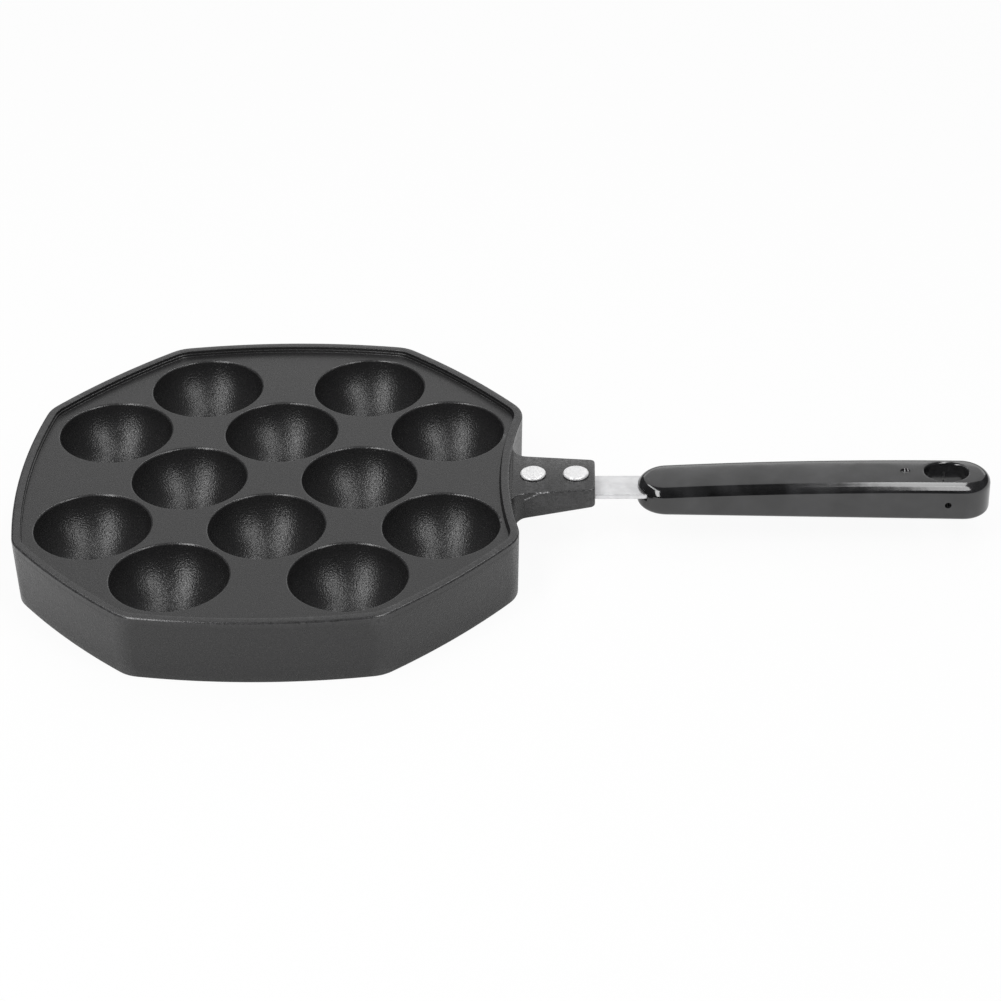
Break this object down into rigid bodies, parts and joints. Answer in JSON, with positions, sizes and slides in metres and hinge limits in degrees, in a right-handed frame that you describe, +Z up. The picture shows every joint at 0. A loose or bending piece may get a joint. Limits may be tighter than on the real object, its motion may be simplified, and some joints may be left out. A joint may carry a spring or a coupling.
{
  "type": "takoyaki pan",
  "caption": "Low griddle pan with staggered half-round cups, a bowed angular rim, a riveted flat tang and a long moulded grip with a hanging hole.",
  "frame": {"origin": "middle of the whole pan's box in X and Y, on the plane that the pan's foot stands on", "axes": "+X along the handle from the plate to the hanging hole, +Z up out of the cups"},
  "size_m": [0.364, 0.1956, 0.0262],
  "materials": {
    "nonstick_coating": "die-cast, with a matt charcoal non-stick coating of fine grain",
    "plated_steel": "bright plated flat bar",
    "rivet_aluminium": "bare, satin",
    "grip_plastic": "glossy black moulded phenolic",
    "screw_steel": "zinc-plated"
  },
  "bodies": {
    "root": {"pan_casting": "nonstick_coating", "handle_tang": "plated_steel", "rivet_front": "rivet_aluminium", "rivet_rear": "rivet_aluminium", "handle_grip": "grip_plastic", "grip_screw": "screw_steel"}
  },
  "joints": []
}
